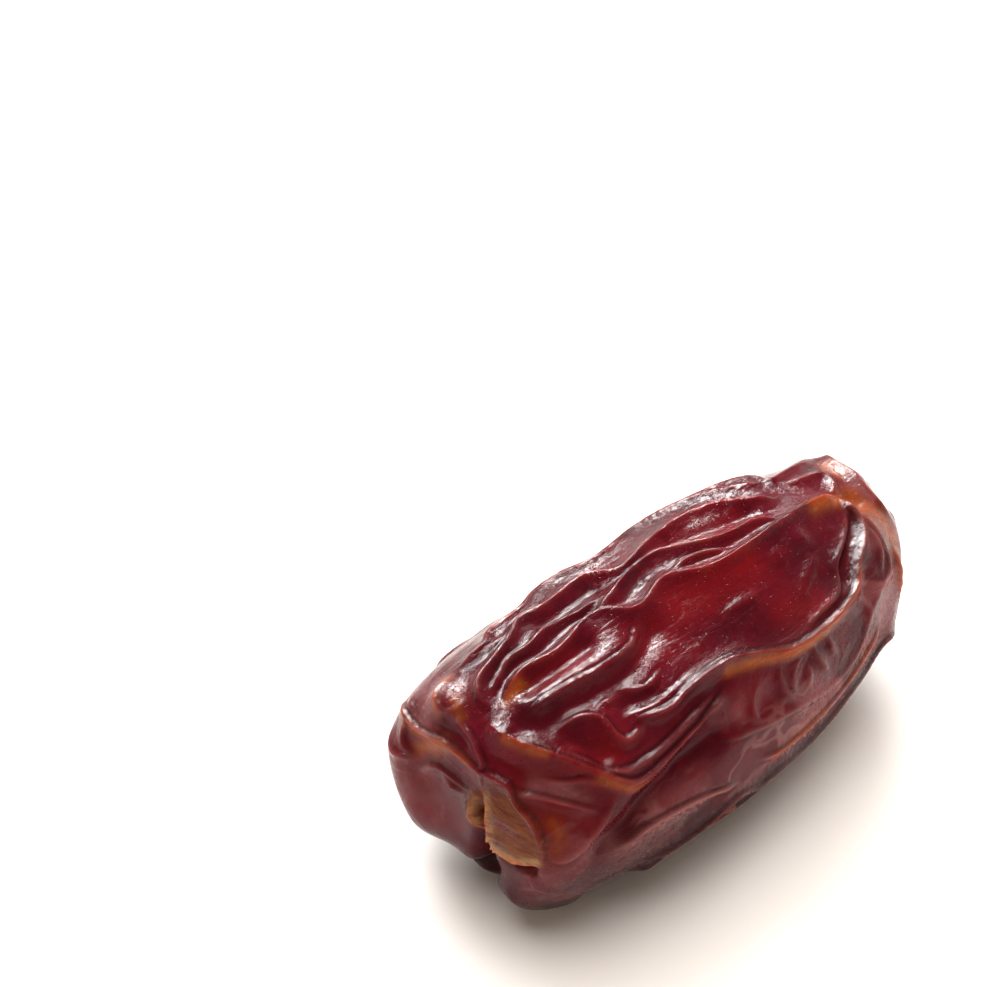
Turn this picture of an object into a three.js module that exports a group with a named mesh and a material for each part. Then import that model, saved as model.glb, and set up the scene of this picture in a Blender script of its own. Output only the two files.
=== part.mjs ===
// A large soft date, lying on its side: one whole fruit with folded skin and the torn scar of its
// cap at the stem end. Millimetres, +X from the stem end to the tip, +Z up, resting on z = 0.
//
// A place on the skin is written as two numbers: how far it is from the stem pole along the skin,
// in mm, and how far round it is, in degrees, from the top (0) towards -Y (90) and the floor (180).
import * as THREE from "three";
import { mergeVertices } from "three/addons/utils/BufferGeometryUtils.js";

// Driving sizes.
const HALF_LENGTH = 24; // the fruit is 48 mm long
const MIDDLE_HEIGHT = 10.85; // of its long axis over the floor
const WIDER = 1.03; // across, against the round profile
const LOWER = 0.97; // upright, against the round profile
const BOW_SIDE = -1.2; // the middle bows this far towards -Y
const BOW_DOWN = -0.4; // and this far towards the floor
const TIP_LIFT = 0.5; // the tip lies this much higher than the middle
const SCAR_SHIFT = [-3.4, 1.4]; // the stem pole lies off the axis by this much in Y and Z
const SCAR_REACH = 6; // and drags the skin along over this distance
const SKIN_SINK = 0.55; // how far the skin between the folds lies under the plump form
const FLOOR_EASE = [0.1, 1.8]; // folds are pressed out between these heights over the floor
const CAP_REACH = 9; // skin length that each end face of the mesh covers
const FACES_ALONG = 45;
const FACES_ROUND = 25; // on each of the four sides
const CROWDING = 0.4; // the faces are this share narrower at their narrowest,
const CROWDED_AT = 25; // this many degrees round, where the folds are finest

// Half of the plump form's side view: place along the length, radius.
const PROFILE = [
  [-24, 0], [-23.9, 4], [-23.5, 7.2], [-22.2, 9], [-19.2, 10.4], [-12, 11.1], [-2.4, 11.1],
  [7.2, 10.3], [14.4, 8.7], [19.7, 6.6], [22.8, 3.6], [23.8, 1.5], [24, 0],
];

// Folds that stand up as a sharp crest: height, reach of the slope on the far side and on the near
// side of the line as it runs from its first point, and the points.
const CRESTS = [
  // Long fold along the edge between the end face, the top and the near side, with its inner twin.
  [0.8, 0.75, 0.8, [[9.7, 6], [9.6, 12], [10, 20], [11, 31], [12.6, 43], [13.9, 52], [15.5, 60],
    [17.1, 62], [18.7, 61], [21.4, 58], [24, 55.5], [27, 51]]],
  [0.5, 0.6, 0.35, [[12.1, 36], [13.2, 43], [14.4, 52], [16, 56], [18.7, 56], [21.9, 53], [25.5, 50]]],
  // The longest fold: under the big central panel and round its far end.
  [0.8, 0.6, 0.5, [[18.4, 41], [21.3, 44], [23.4, 42], [27.7, 42], [30, 46], [33.5, 54],
    [36.5, 56], [40.3, 56], [42.9, 54], [44.6, 47], [46.8, 40], [48, 32], [48.4, 22], [48.3, 13]]],
  [0.45, 0.6, 0.5, [[47.9, 20], [47.1, 27], [45.4, 33], [43.6, 37], [42.4, 40], [41.6, 46], [40.5, 50],
    [38, 50.5], [35.4, 52]]],
  // The crown fold over the panel.
  [0.85, 0.6, 0.8, [[11.8, 3.5], [14.8, 0], [17.2, 2], [19.4, 0], [21.2, -2.5], [22.6, -1], [24.2, 5],
    [25.4, 6], [28.1, 2], [29.3, 2.5], [31.7, 8], [33.8, 10], [40, 10], [44.9, 10], [48.4, 13]]],
  [0.45, 0.35, 0.4, [[29.6, 0], [31, -1], [33.2, 1], [35.6, 8]]],
  [0.65, 0.5, 0.6, [[22.1, -3.5], [24.2, -5.5], [26.9, -10], [30.5, -12], [32.3, -8], [34.6, -2],
    [36.6, 1], [39, 2], [41.5, 8]]],
  // Folds on the far slope of the top.
  [0.7, 0.55, 0.55, [[10.9, 3], [10.8, -3], [12, -10], [14.1, -13], [16.7, -18], [18.6, -24],
    [21.2, -23], [25.6, -24], [27.1, -15], [28.8, -16], [31.4, -20], [35.9, -22], [38.8, -18],
    [41.5, -8], [43.5, -6]]],
  [0.6, 0.5, 0.55, [[12.6, -27], [14.9, -24], [16.5, -30], [20, -32], [22.8, -39], [24.8, -41],
    [27.7, -34]]],
  [0.6, 0.7, 0.6, [[25, -42], [26.6, -36], [28.5, -34], [31, -37], [34, -43], [37.4, -44],
    [40, -37], [43, -22], [45.1, -18]]],
  [0.4, 0.4, 0.4, [[11.3, -2.5], [13, -6], [15, -10], [17, -10], [19, -12.5], [22, -11], [24.5, -9]]],
  [0.35, 0.4, 0.4, [[18, -22.5], [16.4, -22.5], [14, -20]]],
  [0.5, 0.6, 0.6, [[38, -46], [42, -50], [44.1, -46], [45.2, -32], [45.1, -18], [47.5, -20],
    [50, -24], [52.2, -30]]],
  [0.4, 0.5, 0.5, [[45.4, -14], [47.5, -8], [49.7, -6], [49.7, 3], [48.4, 12]]],
  // The winged folds near the end of the top.
  [0.4, 0.7, 0.4, [[11.8, 16], [15.3, 16.5], [19.6, 18], [22.4, 16], [23.9, 10], [24.5, 6]]],
  [0.55, 0.6, 0.45, [[13, 28], [15.1, 28.5], [16.2, 33], [16.5, 42], [17, 46], [19.1, 44]]],
  [0.35, 0.45, 0.4, [[18, 38], [20, 40], [22.3, 40], [24.2, 38.5]]],
  [0.4, 0.5, 0.5, [[16.2, 31], [17.3, 29], [19, 30]]],
  [0.35, 0.4, 0.4, [[19.1, 26], [19.7, 30], [20.9, 33], [22.5, 31]]],
  // The near side and the far end.
  [0.32, 0.7, 0.7, [[48.6, 20], [49.3, 36], [49.4, 52], [48.8, 67], [46.1, 70], [43.3, 77], [41, 85],
    [37.3, 86], [33.3, 81], [28.3, 75], [24.8, 70]]],
  [0.35, 0.4, 0.4, [[48.5, 34], [48.7, 46], [48.3, 56], [47.6, 64]]],
  [0.35, 0.45, 0.4, [[32.3, 56], [31.8, 62], [32, 71], [32.9, 77]]],
  [0.3, 0.4, 0.35, [[34.9, 60], [33.1, 64], [32.8, 71], [33.2, 75]]],
  [0.3, 0.4, 0.35, [[34.8, 64], [34.7, 72], [34.4, 79]]],
  [0.35, 0.4, 0.4, [[36.6, 58], [35.9, 62], [36.2, 68], [37.2, 79]]],
  [0.3, 0.4, 0.4, [[38, 60], [38, 68], [38.5, 74]]],
  [0.3, 0.4, 0.4, [[29.4, 58], [28.5, 65], [28.6, 76]]],
  [0.25, 0.4, 0.4, [[25.7, 54], [25.4, 60], [25.5, 68]]],
  [0.5, 0.8, 0.8, [[28, 92], [32.2, 96], [36.1, 96], [39.6, 94], [43.2, 90], [46, 86]]],
  [0.5, 0.7, 0.7, [[13.6, 92], [16.2, 85.5], [19.8, 85.5], [23, 89], [26, 96]]],
  [0.45, 0.6, 0.6, [[51, 60], [50.6, 74], [50.3, 86], [49.5, 98]]],
  [0.35, 0.5, 0.5, [[54, -40], [52.6, -10], [52.5, 20], [53.5, 50]]],
  [0.3, 0.6, 0.6, [[54.4, 12], [56.4, 8], [58.8, 20]]],
  [0.3, 0.6, 0.6, [[54.6, 66], [56.4, 62], [58.6, 50]]],
  [0.35, 0.6, 0.6, [[52.6, -66], [54.6, -56], [56.4, -60], [58.6, -40]]],
  // The stem end: the folds that run together at the scar.
  [0.42, 0.4, 0.4, [[10.2, -64], [9.4, -59], [8.5, -55], [7.2, -48], [6.5, -39], [6.1, -29], [5.6, -18],
    [5.2, -6], [5.2, 8], [6.1, 25], [6.9, 36], [6.5, 46], [7, 58], [7.4, 68], [7.5, 79], [7.2, 90]]],
  [0.35, 0.4, 0.4, [[9.4, -12], [8.3, -8], [7.7, 1], [7, 8], [6.2, 11], [4.9, 6], [3, -6]]],
  [0.32, 0.4, 0.35, [[6.5, 31], [7.5, 43], [8.8, 49], [10, 55], [11.3, 61], [12.6, 67]]],
  [0.35, 0.4, 0.4, [[14.8, 57], [14.2, 62], [12.9, 70], [11.3, 80], [9.8, 86], [8.7, 87], [7.7, 80]]],
  [0.3, 0.4, 0.4, [[9.6, 42], [11.4, 49], [12.6, 51], [14, 59]]],
  [0.3, 0.35, 0.35, [[10, -56], [9.3, -54], [8.2, -56], [7.2, -66], [6.1, -71], [5.6, -66]]],
  [0.28, 0.35, 0.35, [[4.6, -64], [3.9, -67], [3.1, -75], [2, -62]]],
  [0.3, 0.35, 0.35, [[5.2, -85], [4.9, -71], [4.4, -62], [3.8, -58], [3.1, -56], [2.1, -54]]],
  [0.3, 0.4, 0.4, [[8.9, -76], [7.3, -79], [5.4, -71]]],
  [0.35, 0.5, 0.4, [[10.4, -55], [9.2, -50], [7.8, -45]]],
  [0.3, 0.5, 0.5, [[11.6, -27], [9.6, -28], [8.6, -20], [9.2, -12], [10.8, -10]]],
];

// Broad swells (height above 0) and hollows (below 0): height, reach, points.
const SWELLS = [
  [-0.15, 3.6, [[26, 22], [31, 26], [36, 28], [41, 26], [45, 21]]], // the central panel sags
  [-0.2, 1.6, [[24.8, 18], [25.8, 21]]],
  [0.3, 0.9, [[38.2, 21], [41.2, 20]]],
  [0.2, 0.6, [[40.7, 32], [37.8, 39]]],
  [0.15, 0.45, [[31.4, 27], [33.6, 28]]],
  [0.55, 1.5, [[11.5, 11], [14, 12.5], [18, 13.5], [21, 13]]], // the long welt on the top
  [-0.6, 0.85, [[13.6, 7], [16.4, 7], [19.6, 6]]],
  [0.3, 1.3, [[21.6, 3], [22.6, 5]]],
  [-0.45, 1.1, [[13, 23], [17, 23.5], [20.6, 23], [24.6, 15]]],
  [-0.4, 0.8, [[18.6, 34], [20.8, 36]]],
  [-0.35, 0.9, [[13.6, 36], [14.6, 46]]],
  [-0.4, 0.7, [[33, -15.5], [37, -9.5], [40, -6]]],
  [-0.55, 1, [[14, -5], [18, -5.5], [22, -8]]],
  [-0.5, 1, [[20, -17.5], [24.6, -18.5]]],
  [-0.45, 0.9, [[26, 50.5], [23, 58.5], [20.2, 64]]],
  [-0.9, 1.2, [[24, 65], [20.3, 69], [16.8, 72.5], [14.8, 79], [12.4, 85]]], // shaded side hollow
  [-0.35, 1.4, [[28, 66], [31, 68]]],
  [0.5, 1.9, [[14.9, 62], [13.7, 69], [12, 76], [10.4, 86], [9.6, 96]]], // rounded shoulder
  [-0.85, 1.5, [[9.3, 60], [10.8, 68], [9.7, 79]]], // hollow panel on the end face
  [-0.5, 1.2, [[8, 24], [9.2, 38]]],
  [-0.4, 1, [[7.2, -22], [7, -8]]],
  [-0.45, 0.9, [[12.6, -1], [11.4, 9], [11, 18]]],
  [0.5, 1.5, [[10, -22], [9.6, -20]]],
  [1.1, 2.8, [[7, -90], [6.8, -106], [6.8, -130]]], // left lobe
  [-1.2, 2.2, [[8.6, -165], [8.8, -178]]],
  [0.55, 1.5, [[8.2, 142], [10, 144], [12.4, 138]]],
  [0.45, 3, [[8.6, 118], [9.4, 134]]], // right lobe
  [-0.45, 0.8, [[49.6, 17], [50.2, 22]]],
  [-0.4, 1, [[47.7, 29], [45, 40], [42.8, 46.5]]],
  [-0.3, 1.3, [[45.4, 54], [44, 66]]],
  [0.5, 1.6, [[48.9, 98], [47.4, 103]]], // corner of the tip end
  [0.25, 1.5, [[54, 58], [52.4, 74]]],
  [0.65, 1.5, [[52.4, -36], [53.4, -16], [53.4, 4]]],
  [-0.35, 2.4, [[14, -64], [22, -62], [33, -62]]], // flatter back slope
  [-0.6, 1.1, [[60.2, 0], [60.2, 180]]], // dimple at the tip
  [-0.4, 1.2, [[14.4, 136], [15.6, 132]]],
];

// The scar of the torn cap. Its points are mm to the right of the stem pole (towards -Y) and up.
const SCAR_CRESTS = [
  [0.7, 1.8, 0.45, [[-0.1, 2.6], [0.2, 1.1], [0.1, -0.4], [0.45, -1.4], [0.6, -2.2], [2.6, -1.9], [5, -1.2],
    [6.9, -0.5]]], // torn edge of the tan flap: a step down on its outer side
  [0.7, 0.45, 0.45, [[-0.6, 2.2], [-1.2, 1.4], [-1.5, -0.2], [-1.1, -1.2], [-0.1, -1.7]]], // rolled stub
];
const SCAR_SWELLS = [
  [-0.9, 0.5, [[-0.7, 0.2], [-0.5, -0.6]]],
  [-1.1, 0.42, [[-0.3, -2.2], [0.5, -2.9], [2.4, -2.6], [4.6, -2], [6.4, -1.5]]], // gap under the flap
  [-1.7, 0.75, [[-0.1, -2.6], [0.1, -3.8], [0.8, -5.4]]], // cleft between the lobes
  [-2.8, 0.9, [[1, -5], [1, -7.4], [0.9, -9.6], [0.9, -12]]],
  [0.25, 1.2, [[2.2, 1.8], [4.2, 1.8], [5.6, 1.2]]],
];

// Folds on the sides turned away: place round, start, end, sway in degrees, its pitch and phase,
// height.
const FAR_FOLDS = [
  [-63, 14, 37, 5, 17, 0.4, 0.3],
  [-80, 15, 47, 6, 21, 2.1, 0.7],
  [-101, 13, 57, 7, 18, 4.4, 0.85],
  [-122, 10, 34, 6, 15, 1.2, 0.75],
  [-118, 33, 57, 8, 19, 3.3, 0.75],
  [-146, 13, 56, 6, 22, 0.2, 0.7],
  [109, 17, 55, 5, 19, 2.6, 0.7],
  [130, 17, 34, 6, 16, 5.1, 0.7],
  [134, 33, 57, 7, 18, 0.9, 0.7],
  [158, 14, 55, 5, 23, 3.7, 0.6],
];
const LINKS = [
  [-68, 20, -91, 25], [-88, 30, -66, 35], [-98, 18, -120, 23], [-124, 29, -103, 34],
  [-140, 19, -121, 25], [-104, 41, -82, 45], [-127, 43, -146, 38], [111, 24, 129, 28],
  [131, 31, 111, 36], [134, 20, 156, 24], [152, 33, 136, 39], [-64, 41, -84, 44],
]; // short folds between them: place round and distance of each end
const LINK_HEIGHT = 0.45;
const FAR_REACH = 0.8;
const FAR_STEP = 3; // mm between the points of a swaying fold

const profile = new THREE.CatmullRomCurve3(PROFILE.map(([x, r]) => new THREE.Vector3(x, r, 0)));
profile.arcLengthDivisions = 2000;
const SKIN_LENGTH = profile.getLength();

// The plump form without folds.
function plump(along, round) {
  const side = profile.getPointAt(THREE.MathUtils.clamp(along / SKIN_LENGTH, 0, 1));
  const angle = THREE.MathUtils.degToRad(round);
  const u = side.x / HALF_LENGTH;
  const bow = 1 - u * u;
  const drag = Math.exp(-((along / SCAR_REACH) ** 2));
  return new THREE.Vector3(
    side.x,
    BOW_SIDE * bow - side.y * WIDER * Math.sin(angle) + SCAR_SHIFT[0] * drag,
    MIDDLE_HEIGHT + BOW_DOWN * bow + TIP_LIFT * u + side.y * LOWER * Math.cos(angle) + SCAR_SHIFT[1] * drag,
  );
}

// A line on the skin through the given places: its points in space and how long it is up to each.
const DEGREES_TO_MM = 0.2; // about the skin length of one degree round, for an even curve
const LINE_STEP = 0.5;
function skinLine(points, scale, placeOn) {
  const curve = new THREE.CatmullRomCurve3(points.map(([u, v]) => new THREE.Vector3(u, v * scale, 0)));
  const steps = Math.max(4, Math.ceil(curve.getLength() / LINE_STEP));
  const spots = curve.getSpacedPoints(steps).map((p) => plump(...placeOn(p.x, p.y / scale)));
  const run = [0];
  spots.slice(1).forEach((p, i) => run.push(run[i] + p.distanceTo(spots[i])));
  return { spots, run, extent: new THREE.Box3().setFromPoints(spots) };
}
const skinFold = (points) => skinLine(points, DEGREES_TO_MM, (along, round) => [Math.max(along, 0), round]);
const scarFold = (points) =>
  skinLine(points, 1, (right, up) => [Math.hypot(right, up), THREE.MathUtils.radToDeg(Math.atan2(right, up))]);

// Nearest point of a line to a spot: distance, side (+1 near side), how far it is from the ends.
const REACHES = 5; // a fold has no height farther away than this many times its reach
const reachVector = new THREE.Vector3();
const pieceVector = new THREE.Vector3();
const sideVector = new THREE.Vector3();
function nearest(line, spot, outward) {
  let best = { square: Infinity };
  for (let i = 0; i + 1 < line.spots.length; i++) {
    const a = line.spots[i];
    pieceVector.subVectors(line.spots[i + 1], a);
    reachVector.subVectors(spot, a);
    const t = THREE.MathUtils.clamp(reachVector.dot(pieceVector) / pieceVector.lengthSq(), 0, 1);
    const square = reachVector.addScaledVector(pieceVector, -t).lengthSq();
    if (square < best.square) {
      sideVector.crossVectors(pieceVector, outward);
      best = { square, i, t, side: Math.sign(sideVector.dot(reachVector)) };
    }
  }
  const { i, t } = best;
  const run = THREE.MathUtils.lerp(line.run[i], line.run[i + 1], t);
  return {
    distance: Math.sqrt(best.square),
    side: best.side,
    toEnd: Math.min(run, line.run.at(-1) - run),
  };
}

// A crest falls off on each side like a hanging skin; a swell is a soft hump.
const CREST_ROUND = 0.4; // radius of a crest
const CREST_CUT = 0.25; // and how much of that its rounding takes off
const END_FADE = 2.2; // a fold dies away over this length
const fade = (toEnd, length) => THREE.MathUtils.smoothstep(toEnd, -0.3 * length, length);
const tooFar = (line, spot, reach) => line.extent.distanceToPoint(spot) > REACHES * reach;
function crestHeight([height, farReach, nearReach, line], spot, outward) {
  if (tooFar(line, spot, Math.max(farReach, nearReach))) return 0;
  const near = nearest(line, spot, outward);
  const reach = near.side < 0 ? farReach : nearReach;
  const fall = Math.hypot(near.distance, CREST_ROUND) - CREST_CUT;
  return height * fade(near.toEnd, END_FADE) * Math.exp(-fall / reach);
}
function swellHeight([height, reach, line], spot, outward) {
  if (tooFar(line, spot, reach)) return 0;
  const near = nearest(line, spot, outward);
  return height * Math.exp(-((near.distance / reach) ** 2));
}

// Every fold with its line worked out.
const RIPPLE = [0.4, 2.7]; // a fold's smaller second sway: its share and how many times faster it is
const swaying = FAR_FOLDS.map(([round, from, to, sway, pitch, phase, height]) => {
  const count = Math.ceil((to - from) / FAR_STEP);
  const points = Array.from({ length: count + 1 }, (_, i) => {
    const along = THREE.MathUtils.lerp(from, to, i / count);
    const turn = (2 * Math.PI * along) / pitch + phase;
    return [along, round + sway * (Math.sin(turn) + RIPPLE[0] * Math.sin(RIPPLE[1] * turn))];
  });
  return [height, FAR_REACH, FAR_REACH, points];
});
const links = LINKS.map(([roundA, alongA, roundB, alongB]) => {
  const middle = [(alongA + alongB) / 2 + 1, (roundA + roundB) / 2];
  return [LINK_HEIGHT, FAR_REACH / 2, FAR_REACH / 2, [[alongA, roundA], middle, [alongB, roundB]]];
});
const withFold = (makeFold) => (row) => [...row.slice(0, -1), makeFold(row.at(-1))];
const crests = [
  ...[...CRESTS, ...swaying, ...links].map(withFold(skinFold)),
  ...SCAR_CRESTS.map(withFold(scarFold)),
];
const swells = [...SWELLS.map(withFold(skinFold)), ...SCAR_SWELLS.map(withFold(scarFold))];

// Crests that meet are blended like a soft maximum, so that the higher one runs through.
const BLEND = 3;
function relief(spot, outward) {
  const up = crests.reduce((sum, crest) => sum + crestHeight(crest, spot, outward) ** BLEND, 0);
  const broad = swells.reduce((sum, swell) => sum + swellHeight(swell, spot, outward), 0);
  return up ** (1 / BLEND) + broad - SKIN_SINK;
}

// The mesh: a box whose two ends become the end faces of the fruit and whose sides become its skin.
const box = new THREE.BoxGeometry(2, 2, 2, FACES_ALONG, FACES_ROUND, FACES_ROUND);
box.deleteAttribute("uv");
box.deleteAttribute("normal");
const skin = mergeVertices(box, 1e-4);
const corners = skin.getAttribute("position");

function placeOf(x, y, z) {
  const out = Math.max(Math.abs(y), Math.abs(z));
  const across = -y;
  let round = 0;
  if (out > 0 && Math.abs(z) >= Math.abs(across)) round = 45 * (across / z) + (z < 0 ? 180 : 0);
  else if (out > 0) round = 90 - 45 * (z / across) + (across < 0 ? 180 : 0);
  if (round > 180) round -= 360;
  round -= THREE.MathUtils.radToDeg(CROWDING * Math.sin(THREE.MathUtils.degToRad(round - CROWDED_AT)));
  if (Math.abs(x) < 1 - 1e-6) {
    return [THREE.MathUtils.mapLinear(x, -1, 1, CAP_REACH, SKIN_LENGTH - CAP_REACH), round];
  }
  return [x < 0 ? CAP_REACH * out : SKIN_LENGTH - CAP_REACH * out, round];
}

const places = [];
for (let i = 0; i < corners.count; i++) {
  places.push(placeOf(corners.getX(i), corners.getY(i), corners.getZ(i)));
}
places.forEach(([along, round], i) => corners.setXYZ(i, ...plump(along, round).toArray()));
skin.computeVertexNormals();

// Raise the folds, press the underside flat on the floor.
const outwards = skin.getAttribute("normal");
const heights = places.map((_, i) => {
  const spot = new THREE.Vector3().fromBufferAttribute(corners, i);
  const outward = new THREE.Vector3().fromBufferAttribute(outwards, i);
  const height = relief(spot, outward) * THREE.MathUtils.smoothstep(spot.z, ...FLOOR_EASE);
  spot.addScaledVector(outward, height);
  corners.setXYZ(i, spot.x, spot.y, Math.max(spot.z, 0));
  return height;
});

// Each face of the box is split along its clearly higher diagonal, so that crests run through.
const CLEARLY = 0.05;
const faces = skin.getIndex();
for (let i = 0; i < faces.count; i += 6) {
  const [a, b, d] = [0, 1, 2].map((k) => faces.getX(i + k));
  const c = faces.getX(i + 4);
  if (heights[a] + heights[c] > heights[b] + heights[d] + CLEARLY) {
    [a, b, c, a, c, d].forEach((corner, k) => faces.setX(i + k, corner));
  }
}
skin.computeVertexNormals();

// The fruit's own frame: the middle of its length and width, the floor under it.
skin.computeBoundingBox();
const middle = skin.boundingBox.getCenter(new THREE.Vector3());
skin.translate(-middle.x, -middle.y, -skin.boundingBox.min.z);

const fruit = new THREE.Mesh(
  skin,
  new THREE.MeshStandardMaterial({ color: 0x5e1419, roughness: 0.32, metalness: 0 }),
);
fruit.name = "date_fruit";

const part = new THREE.Group();
part.add(fruit);
export default part;
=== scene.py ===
import bpy
import numpy as np
from mathutils import Matrix, Vector


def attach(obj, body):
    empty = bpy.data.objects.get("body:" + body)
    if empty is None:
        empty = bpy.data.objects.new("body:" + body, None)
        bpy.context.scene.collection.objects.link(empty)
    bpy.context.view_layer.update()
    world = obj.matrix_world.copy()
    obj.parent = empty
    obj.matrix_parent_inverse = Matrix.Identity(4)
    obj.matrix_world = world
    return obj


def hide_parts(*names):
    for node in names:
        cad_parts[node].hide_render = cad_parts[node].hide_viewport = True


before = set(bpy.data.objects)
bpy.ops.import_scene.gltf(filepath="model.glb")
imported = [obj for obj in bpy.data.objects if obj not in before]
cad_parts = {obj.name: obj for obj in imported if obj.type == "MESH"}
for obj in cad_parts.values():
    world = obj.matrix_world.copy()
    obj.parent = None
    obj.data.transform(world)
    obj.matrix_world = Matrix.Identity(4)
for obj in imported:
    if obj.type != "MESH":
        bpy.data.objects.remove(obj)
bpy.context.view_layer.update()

MM = 0.001

# Driving sizes of the CAD fruit: lengths in mm.
HALF_LENGTH = 24
MIDDLE_HEIGHT = 10.85
WIDER = 1.03  # its section is wider than a circle by this factor,
LOWER = 0.97  # and lower by this one
BOW_SIDE = -1.2  # how far the middle of its length bows
BOW_DOWN = -0.4
TIP_LIFT = 0.5
SCAR_SHIFT = (-3.4, 1.4)  # the stem pole sits off the middle, to -Y and up
SCAR_REACH = 6
SKIN_SINK = 0.55  # between the folds the skin lies this far under the plump form
FLOOR_EASE = (0.1, 1.8)  # the folds flatten out between these heights
CAP_REACH = 9  # the mesh's end faces reach this far from the poles
CREST_CUT = 0.25  # how much of a fold its rounding takes off
END_FADE = 2.2  # a fold dies away over this length at its ends,
FADE_BEYOND = 0.3  # and this share of the length lies past the end
REACHES = 5  # a line has no effect farther away than this many times its reach
BLEND = 3  # folds that meet are summed at this power
FAR_REACH = 0.8  # long folds on the sides turned away: reach, step between points,
FAR_STEP = 3
RIPPLE = (0.4, 2.7)  # smaller second sway: its share and how many times faster it is
LINK_HEIGHT = 0.45  # short folds between them
LINK_REACH = 0.4
LINK_BOW = 1
DEGREES_TO_MM = 0.2  # about the length of a degree round the fruit

# Sizes of the fine skin.
CREST_ROUND = 0.12  # the crests are rounded off over about this distance
LIP, LIP_WIDTH = 0.02, 0.2  # a fine lip runs on each crest
CREASE, CREASE_WIDTH, CREASE_OFF = 0.09, 0.16, 0.36  # and a fine crease beside it
FULL_HEIGHT = 0.55  # both are weaker on folds lower than this
FACES_ALONG = 165
FACES_ROUND = 110  # on each of the four sides
CROWDING = 0.4  # the faces are this share narrower at their narrowest,
CROWDED_AT = 25  # this many degrees round, where the folds are finest

# Steps of the curves through the points.
SIDE_STEPS = 80
LINE_STEPS = 24
LINE_STEP = 0.3  # in mm, once a line is in space
LEAST_STEPS = 4
TINY = 1e-4  # stands in for a length of 0 between two points

# Half of the plump form's side view: place along the length, radius.
PROFILE = [
    [-24, 0], [-23.9, 4], [-23.5, 7.2], [-22.2, 9], [-19.2, 10.4], [-12, 11.1], [-2.4, 11.1],
    [7.2, 10.3], [14.4, 8.7], [19.7, 6.6], [22.8, 3.6], [23.8, 1.5], [24, 0],
]

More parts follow.
